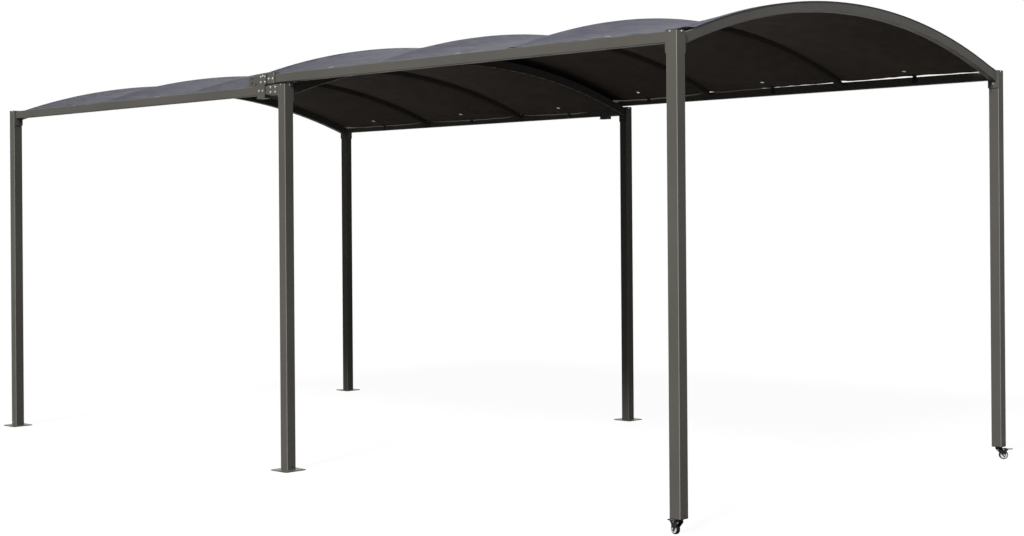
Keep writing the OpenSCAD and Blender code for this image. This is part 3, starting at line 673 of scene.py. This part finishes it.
        for j in range(len(flat) - 1):
            for i in range(count - 1):
                cell = [(j, i), (j, i + 1), (j + 1, i + 1), (j + 1, i)]
                if any(c in holes for c in cell):
                    continue
                quad(*[top[a][b] for a, b in cell[::-1]], 0)
                quad(*[under[a][b] for a, b in cell], 1)
        for j, i in holes:
            d, y = self.columns(ys[j])[i], ys[j]
            steps = ((-1, -1), (-1, 0), (-1, 1), (0, 1), (1, 1), (1, 0), (1, -1), (0, -1))
            ring = [(j + a, i + b) for a, b in steps]
            inner = []
            for a, b in ring:
                way = Vector((flat[a][b][0] - d, flat[a][b][1] - y)).normalized() * HOLE_R
                spot = (d + way.x, y + way.y)
                inner.append([bm.verts.new(self.point(*spot)), bm.verts.new(self.point(*spot, CLOTH_T))])
            for k in range(8):
                n = (k + 1) % 8
                (a, b), (c, e) = ring[k], ring[n]
                quad(top[c][e], top[a][b], inner[k][0], inner[n][0], 0)
                quad(under[a][b], under[c][e], inner[n][1], inner[k][1], 1)
                quad(inner[k][0], inner[k][1], inner[n][1], inner[n][0], 0)
            rims.append((d, y))
        last, end = len(flat) - 1, count - 1
        for i in range(end):
            quad(top[0][i], top[0][i + 1], under[0][i + 1], under[0][i], 0)
            quad(top[last][i + 1], top[last][i], under[last][i], under[last][i + 1], 0)
        for j in range(last):
            quad(top[j + 1][0], top[j][0], under[j][0], under[j + 1][0], 0)
            quad(top[j][end], top[j + 1][end], under[j + 1][end], under[j][end], 0)
        sheet = piece(self.name + "_cloth", bm, [cloth, backing], self.body, 40)
        return sheet, self.eyelets(rims), self.stitches(), self.ties([ys[j] for j in middles])

    def eyelets(self, rims):
        """Drain eyelets, whose flanges grip the cloth from both sides."""
        bm = bmesh.new()
        half = CLOTH_T / 2
        flange = [
            (0.0080, half + 0.0010), (0.0090, half + 0.0016), (0.0118, half + 0.0014), (0.0140, half + 0.0004),
        ]
        ring = [(0.0076, 0.0)] + flange + [(r, -h) for r, h in flange[::-1]]
        for d, y in rims:
            at = facing(self.point(d, y, half), self.normal(d + 0.02, y))
            lathe(bm, ring, at, 24, closed=True)
        return piece(self.name + "_eyelets", bm, [eyelet_metal], self.body, 50)

    def stitches(self):
        """Rows of stitches along the hems."""
        bm = bmesh.new()

        def stitch(d, y, along):
            centre = self.point(d, y)
            n = self.normal(d, y)
            a = d / ARCH_R
            way = Vector((0, 1, 0)) if along else Vector((math.cos(a), 0, -math.sin(a)))
            side = n.cross(way).normalized()
            ends = [bm.verts.new(centre + way * (s * STITCH_L / 2) - n * 0.0001) for s in SIDES]
            offsets = (n * STITCH_R, side * STITCH_R, -n * STITCH_R / 2, -side * STITCH_R)
            ring = [bm.verts.new(centre + v) for v in offsets]
            for k in range(4):
                bm.faces.new((ends[0], ring[k], ring[(k + 1) % 4]))
                bm.faces.new((ends[1], ring[(k + 1) % 4], ring[k]))

        for inset in STITCH_INSETS:
            for k in range(int((self.back - self.front - 2 * inset) / STITCH_STEP)):
                y = self.back - inset - STITCH_STEP * (k + 0.5)
                for side in SIDES:
                    stitch(side * (self.edge(y) - inset), y, True)
            for y in (self.back - inset, self.front + inset):
                for k in range(int((2 * self.edge(y) - 2 * inset) / STITCH_STEP)):
                    stitch(inset - self.edge(y) + STITCH_STEP * (k + 0.5), y, False)
        return piece(self.name + "_stitching", bm, [thread], self.body, 80)

    def ties(self, middles):
        """Short straps from the hem to the inner face of the rail."""
        bm = bmesh.new()
        rail_z = fixed_rail_z if self.body == "fixed_frame" else sliding_rail_z
        face = rail_in - TIE_GAP
        under = CLOTH_T + 0.0004
        for y in middles:
            for side in SIDES:
                edge = self.edge(y)
                a, b = self.point(edge - TIE_REACH, y, under), self.point(edge, y, under)
                path = [(a.x, a.z), (b.x - 0.004, b.z + 0.0012), (b.x + 0.002, b.z - 0.001)]
                path = [Vector(p) for p in path]
                turn = Vector((face, min(b.z - 0.004, rail_z + 0.020)))
                path += [path[-1].lerp(turn, 0.5) + Vector((0.0, -0.0015)), turn, Vector((face, rail_z - 0.010))]
                rings = []
                for k, p in enumerate(path):
                    way = (path[min(k + 1, len(path) - 1)] - path[max(k - 1, 0)]).normalized()
                    q = p + Vector((-way.y, way.x)) * -TIE_T
                    front, back = y - TIE_HALF, y + TIE_HALF
                    rings.append([
                        bm.verts.new((side * p.x, front, p.y)), bm.verts.new((side * p.x, back, p.y)),
                        bm.verts.new((side * q.x, back, q.y)), bm.verts.new((side * q.x, front, q.y)),
                    ])
                for r, s in zip(rings, rings[1:]):
                    for k in range(4):
                        bm.faces.new((r[k], r[(k + 1) % 4], s[(k + 1) % 4], s[k]))
                bm.faces.new(rings[0])
                bm.faces.new(rings[-1][::-1])
        return piece(self.name + "_ties", bm, [webbing], self.body, 40)


def eased(a, b, t):
    """From a to b with a soft start and end, as t goes from 0 to 1."""
    t = max(0.0, min(1.0, t))
    return a + (b - a) * t * t * (3 - 2 * t)


fixed_ys = [rear_y, middle("fixed_rear_rib").y, middle("fixed_front_rib").y, mid_y]
sliding_ys = [middle("tail_rib").y, middle("sliding_rear_rib").y, middle("sliding_front_rib").y, front_y]
rib, arch = (RIB_W / 2, rib_lift), (ARCH_W / 2, 0.0)
# Half widths at the ends and between them, the run over which one turns into the other, and how far from an
# arch or from the tail rib that run starts
FIXED_HALF, SLIDING_HALF, HALF_RUN = (1.432, 1.446), (1.427, 1.4445), 0.12
ARCH_KEEP, TAIL_KEEP = 0.05, 0.15
# Rise of the sliding roof's edges at the back and at the front, and the run between
SLIDING_RISE, RISE_RUN = (0.15, 0.50), 1.2


def fixed_half(y):
    return eased(*FIXED_HALF, min(rear_y - y - ARCH_KEEP, y - mid_y - ARCH_KEEP) / HALF_RUN)


def sliding_half(y):
    return eased(*SLIDING_HALF, min(sliding_ys[0] - y - TAIL_KEEP, y - front_y - ARCH_KEEP) / HALF_RUN)


def sliding_rise(y):
    return eased(*SLIDING_RISE, (sliding_ys[1] - y) / RISE_RUN)


fixed_roof = Canopy(
    "fixed_roof", "fixed_frame", [(y, *c) for y, c in zip(fixed_ys, (arch, rib, rib, arch))],
    sags=(0.028, 0.030, 0.031), dips=(0.008, 0.008, 0.008), crown=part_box("rear_arch")[1].z,
    half=fixed_half, rise=lambda y: 0.0, stand_off=0.0,
)
sliding_roof = Canopy(
    "sliding_roof", "sliding_section", [(y, *c) for y, c in zip(sliding_ys, (rib, rib, rib, arch))],
    sags=(0.024, 0.048, 0.055), dips=(0.010, -0.002, -0.006), crown=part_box("front_arch")[1].z,
    half=sliding_half, rise=sliding_rise, stand_off=0.020,
)
for roof, node, flat, rests in (
    (
        fixed_roof, "fixed_canopy", (2.94, 3.01),
        ["rear_arch", "fixed_rear_rib", "fixed_front_rib", "middle_arch"],
    ),
    (
        sliding_roof, "sliding_canopy", (2.94, 3.06),
        ["tail_rib", "sliding_rear_rib", "sliding_front_rib", "front_arch"],
    ),
):
    sheet, *extras = roof.build()
    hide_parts(node)


# Floor, light and camera

# Half the side of the floor, and how far it lies under the feet
FLOOR_HALF, FLOOR_DROP = 60, 0.0004
# The camera fitted to the photo: the photo's width, the focal length and the shift in pixels, the turns in degrees
# and the place, along Y from the rear posts
PHOTO_W, FOCAL_PX, SHIFT_PX = 1024, 1609, -51
YAW, PITCH, ROLL = 43.927, 0.0325, -0.4226
EYE = (-7.0391, rear_y - 10.0641, 1.3926)
SENSOR_W, CLIP_END = 36, 400


def add(name, data):
    obj = bpy.data.objects.new(name, data)
    bpy.context.scene.collection.objects.link(obj)
    return obj


def seen(tree):
    """1 for rays that show the background: camera, glossy and transmission rays."""
    path = tree.nodes.new("ShaderNodeLightPath")
    total = path.outputs["Is Camera Ray"]
    for name in ("Is Glossy Ray", "Is Transmission Ray"):
        n = tree.nodes.new("ShaderNodeMath")
        n.operation = "MAXIMUM"
        tree.links.new(total, n.inputs[0])
        tree.links.new(path.outputs[name], n.inputs[1])
        total = n.outputs[0]
    return total


def floor():
    """A floor that shows white but lights the part like a dull one."""
    mesh = bpy.data.meshes.new("floor")
    h = FLOOR_HALF
    mesh.from_pydata([(-h, -h, 0), (h, -h, 0), (h, h, 0), (-h, h, 0)], [], [(0, 1, 2, 3)])
    obj = add("floor", mesh)
    obj.location.z = -FLOOR_DROP
    material = bpy.data.materials.new("pale_floor")
    material.use_nodes = True
    tree = material.node_tree
    tree.nodes.clear()

    def shader(kind, colour):
        n = tree.nodes.new(kind)
        n.inputs["Color"].default_value = (*colour, 1)
        return n.outputs[0]

    def mixed(fac, a, b):
        n = tree.nodes.new("ShaderNodeMixShader")
        if isinstance(fac, bpy.types.NodeSocket):
            tree.links.new(fac, n.inputs[0])
        else:
            n.inputs[0].default_value = fac
        tree.links.new(a, n.inputs[1])
        tree.links.new(b, n.inputs[2])
        return n.outputs[0]

    glow = shader("ShaderNodeEmission", (1.03, 1.03, 1.03))
    white = mixed(0.08, glow, shader("ShaderNodeBsdfDiffuse", (0.95, 0.95, 0.95)))
    dull = shader("ShaderNodeBsdfDiffuse", (0.13, 0.13, 0.127))
    out = tree.nodes.new("ShaderNodeOutputMaterial")
    tree.links.new(mixed(seen(tree), dull, white), out.inputs[0])
    mesh.materials.append(material)


def world():
    """A white background, and a soft light that is much weaker than it looks."""
    w = bpy.data.worlds.new("studio")
    bpy.context.scene.world = w
    w.use_nodes = True
    tree = w.node_tree
    tree.nodes.clear()
    soft = tree.nodes.new("ShaderNodeBackground")
    soft.inputs["Color"].default_value = (0.15, 0.15, 0.157, 1)
    white = tree.nodes.new("ShaderNodeBackground")
    white.inputs["Color"].default_value = (1, 1, 1, 1)
    mix = tree.nodes.new("ShaderNodeMixShader")
    tree.links.new(seen(tree), mix.inputs[0])
    tree.links.new(soft.outputs[0], mix.inputs[1])
    tree.links.new(white.outputs[0], mix.inputs[2])
    out = tree.nodes.new("ShaderNodeOutputWorld")
    tree.links.new(mix.outputs[0], out.inputs[0])


def panel(name, place, target, size, power, colour=(1, 1, 1)):
    data = bpy.data.lights.new(name, "AREA")
    data.shape = "DISK"
    data.size = size
    data.energy = power
    data.color = colour
    obj = add(name, data)
    obj.location = place
    obj.rotation_mode = "QUATERNION"
    obj.rotation_quaternion = (Vector(place) - Vector(target)).to_track_quat("Z", "Y")


def sun(name, towards, strength, softness):
    data = bpy.data.lights.new(name, "SUN")
    data.energy = strength
    data.angle = softness
    obj = add(name, data)
    obj.rotation_mode = "QUATERNION"
    obj.rotation_quaternion = Vector(towards).to_track_quat("Z", "Y")


def camera():
    yaw, pitch, roll = (math.radians(a) for a in (YAW, PITCH, ROLL))
    ahead = Vector((math.cos(yaw) * math.cos(pitch), math.sin(yaw) * math.cos(pitch), math.sin(pitch)))
    right = Vector((math.sin(yaw), -math.cos(yaw), 0))
    up = right.cross(ahead)
    right, up = right * math.cos(roll) + up * math.sin(roll), up * math.cos(roll) - right * math.sin(roll)
    data = bpy.data.cameras.new("camera")
    data.sensor_fit = "HORIZONTAL"
    data.sensor_width = SENSOR_W
    data.lens = SENSOR_W * FOCAL_PX / PHOTO_W
    data.shift_y = SHIFT_PX / PHOTO_W
    data.clip_end = CLIP_END
    obj = add("camera", data)
    turn = Matrix((right, up, -ahead)).transposed().to_4x4()
    obj.matrix_world = Matrix.Translation(EYE) @ turn
    bpy.context.scene.camera = obj


floor()
world()
sun("key", (-0.80, -0.26, 0.60), 2.62, 0.2)
panel("front_key", (-7.2, -4.5, 6.2), (-1.0, -2.0, 1.6), 3.0, 185)
panel("front_top", (0.2, -5.7, 4.8), (0.0, -2.85, 2.35), 1.6, 44, (0.86, 0.94, 1.0))
sun("fill", (0.7, 0.75, 0.4), 0.8, 0.6)
camera()
bpy.context.scene.view_settings.view_transform = "Standard"
